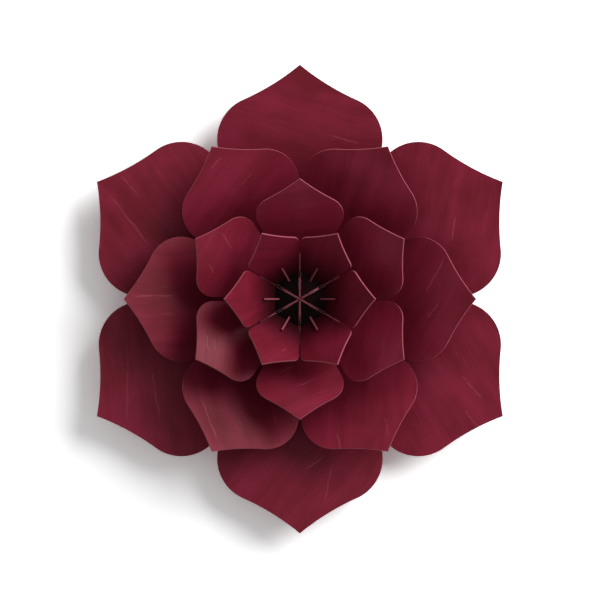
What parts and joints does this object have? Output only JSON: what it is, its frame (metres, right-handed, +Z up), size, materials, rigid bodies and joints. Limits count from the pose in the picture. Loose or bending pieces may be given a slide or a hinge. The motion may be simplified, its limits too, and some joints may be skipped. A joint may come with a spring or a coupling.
{
  "type": "plywood wall flower",
  "caption": "Wall flower slotted together from thin stained plywood: nested rings of flat pointed petals on cross-lapped plates and ribs, with a keyhole in its back plate.",
  "frame": {"origin": "centre of the back plate's rear face, which lies against the wall", "axes": "+Z up along the wall, +Y into the wall, so that the flower faces -Y, +X to the right as seen from the front"},
  "size_m": [0.2926, 0.0907, 0.3378],
  "materials": {
    "petal_outer": "dark red stain, dull, with paler cut edges",
    "petal_second": "dark red stain, dull, with paler cut edges",
    "petal_third": "dark red stain, dull, with paler cut edges",
    "petal_inner": "dark red stain, dull, with paler cut edges",
    "plates": "dark red stain, paler on the cut edges that show",
    "back": "dark red stain, dull"
  },
  "bodies": {
    "root": {"petal_outer_1": "petal_outer", "petal_outer_2": "petal_outer", "petal_outer_3": "petal_outer", "petal_outer_4": "petal_outer", "petal_outer_5": "petal_outer", "petal_outer_6": "petal_outer", "petal_second_1": "petal_second", "petal_second_2": "petal_second", "petal_second_3": "petal_second", "petal_second_4": "petal_second", "petal_second_5": "petal_second", "petal_second_6": "petal_second", "petal_third_1": "petal_third", "petal_third_2": "petal_third", "petal_third_3": "petal_third", "petal_third_4": "petal_third", "petal_third_5": "petal_third", "petal_third_6": "petal_third", "petal_inner_1": "petal_inner", "petal_inner_2": "petal_inner", "petal_inner_3": "petal_inner", "petal_inner_4": "petal_inner", "petal_inner_5": "petal_inner", "petal_inner_6": "petal_inner", "core_plate_1": "plates", "core_plate_2": "plates", "core_plate_3": "plates", "rib_1": "plates", "rib_2": "plates", "rib_3": "plates", "rib_4": "plates", "rib_5": "plates", "rib_6": "plates", "back_plate": "back"}
  },
  "joints": []
}
